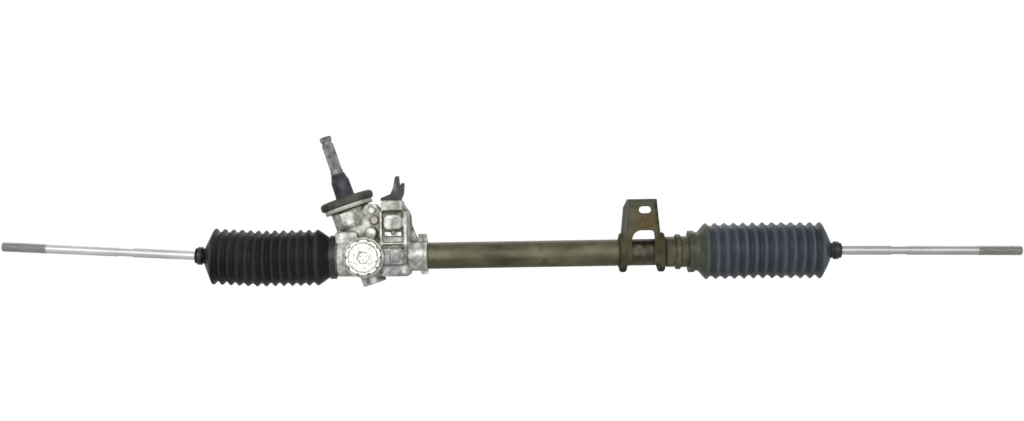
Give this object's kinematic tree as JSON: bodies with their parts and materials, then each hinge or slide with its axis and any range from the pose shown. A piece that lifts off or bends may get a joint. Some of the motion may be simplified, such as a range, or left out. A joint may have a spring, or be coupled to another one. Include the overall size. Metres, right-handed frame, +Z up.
{
  "type": "steering rack",
  "caption": "Manual rack-and-pinion steering rack with tilted input shaft, adjustable rack guide, steel tube with welded bracket, bellows boots and tie rods on ball joints.",
  "frame": {"origin": "on the mounting plane, midway between the two bolt holes in the back of the pinion housing", "axes": "+X runs along the rack towards the tube and bracket end, +Y points out of the mounting plane into the vehicle structure, +Z points up, the way the input shaft rises"},
  "size_m": [1.2737, 0.0864, 0.1916],
  "materials": {
    "cast_aluminium": "as-cast, fine satin grain",
    "machined_aluminium": "machined bright",
    "bright_steel": "ground steel",
    "shaft_steel": "dark oiled steel",
    "ring_steel": "plain zinc plate",
    "rod_steel": "drawn steel, satin",
    "olive_steel": "olive chromate over zinc, satin",
    "left_rubber": "black, satin",
    "right_rubber": "blue-grey, satin",
    "dark_rubber": "matt rubber",
    "black_plastic": "moulded, satin",
    "bearing_plastic": "low-friction plastic",
    "band_steel": "blackened band",
    "bronze": "sintered bronze"
  },
  "bodies": {
    "housing": {"pinion_housing": "cast_aluminium", "breather_screw": "ring_steel", "pipe_clip": "black_plastic", "rack_tube": "olive_steel", "tube_collar": "olive_steel", "tube_bracket": "olive_steel", "rack_bush": "bearing_plastic", "rack_yoke": "machined_aluminium", "yoke_liner": "bearing_plastic", "yoke_o_ring": "dark_rubber", "yoke_spring": "bright_steel", "adjuster_plug": "machined_aluminium", "adjuster_lock_ring": "machined_aluminium", "bearing_outer_ring": "bright_steel", "housing_circlip": "bright_steel", "lower_bush": "bronze", "pinion_oil_seal": "dark_rubber", "tower_ring": "ring_steel", "dust_disc": "dark_rubber", "boot_left": "left_rubber", "boot_right": "right_rubber", "boot_band_left": "band_steel", "boot_band_right": "band_steel"},
    "rack": {"rack_bar": "bright_steel", "inner_socket_left": "bright_steel", "inner_socket_right": "bright_steel", "lock_washer_left": "bright_steel", "lock_washer_right": "bright_steel"},
    "pinion": {"pinion_shaft": "shaft_steel", "bearing_inner_ring": "bright_steel", "shaft_circlip": "bright_steel", "dust_sleeve": "black_plastic"},
    "bearing_cage": {"bearing_balls": "bright_steel", "bearing_cage": "bearing_plastic"},
    "left_seat": {"ball_seat_left": "bearing_plastic"},
    "right_seat": {"ball_seat_right": "bearing_plastic"},
    "left_rod": {"tie_rod_left": "rod_steel", "neck_band_left": "band_steel"},
    "right_rod": {"tie_rod_right": "rod_steel", "neck_band_right": "band_steel"}
  },
  "joints": [
    {"name": "rack_slide", "type": "slide", "parent": "housing", "child": "rack", "axis": [1, 0, 0], "range_m": [-0.07, 0.07], "deforming": ["boot_left", "boot_right"]},
    {"name": "pinion_spin", "type": "hinge", "parent": "housing", "child": "pinion", "pos_m": [-0.0387, -0.02557, -0.0205], "axis": [-0.3117, 0, 0.9502], "range_deg": [-604, 604]},
    {"name": "cage_spin", "type": "hinge", "parent": "housing", "child": "bearing_cage", "pos_m": [-0.04743, -0.02557, 0.00611], "axis": [-0.3117, 0, 0.9502], "range_deg": [-234, 234]},
    {"name": "left_joint_lift", "type": "hinge", "parent": "rack", "child": "left_seat", "pos_m": [-0.1719, -0.04, -0.0205], "axis": [0, 1, 0], "range_deg": [-21.55, 14.45], "deforming": ["boot_left"]},
    {"name": "left_joint_swing", "type": "hinge", "parent": "left_seat", "child": "left_rod", "pos_m": [-0.1719, -0.04, -0.0205], "axis": [0.0619, 0, 0.9981], "range_deg": [-12, 12], "deforming": ["boot_left"]},
    {"name": "right_joint_lift", "type": "hinge", "parent": "rack", "child": "right_seat", "pos_m": [0.4629, -0.04, -0.0205], "axis": [0, 1, 0], "range_deg": [-19, 17], "deforming": ["boot_right"]},
    {"name": "right_joint_swing", "type": "hinge", "parent": "right_seat", "child": "right_rod", "pos_m": [0.4629, -0.04, -0.0205], "axis": [0.0175, 0, 0.9998], "range_deg": [-12, 12], "deforming": ["boot_right"]}
  ],
  "couplings": [
    {"joint": "pinion_spin", "follows": "rack_slide", "rad_per_m": 150.38},
    {"joint": "cage_spin", "follows": "rack_slide", "rad_per_m": 57.776}
  ]
}
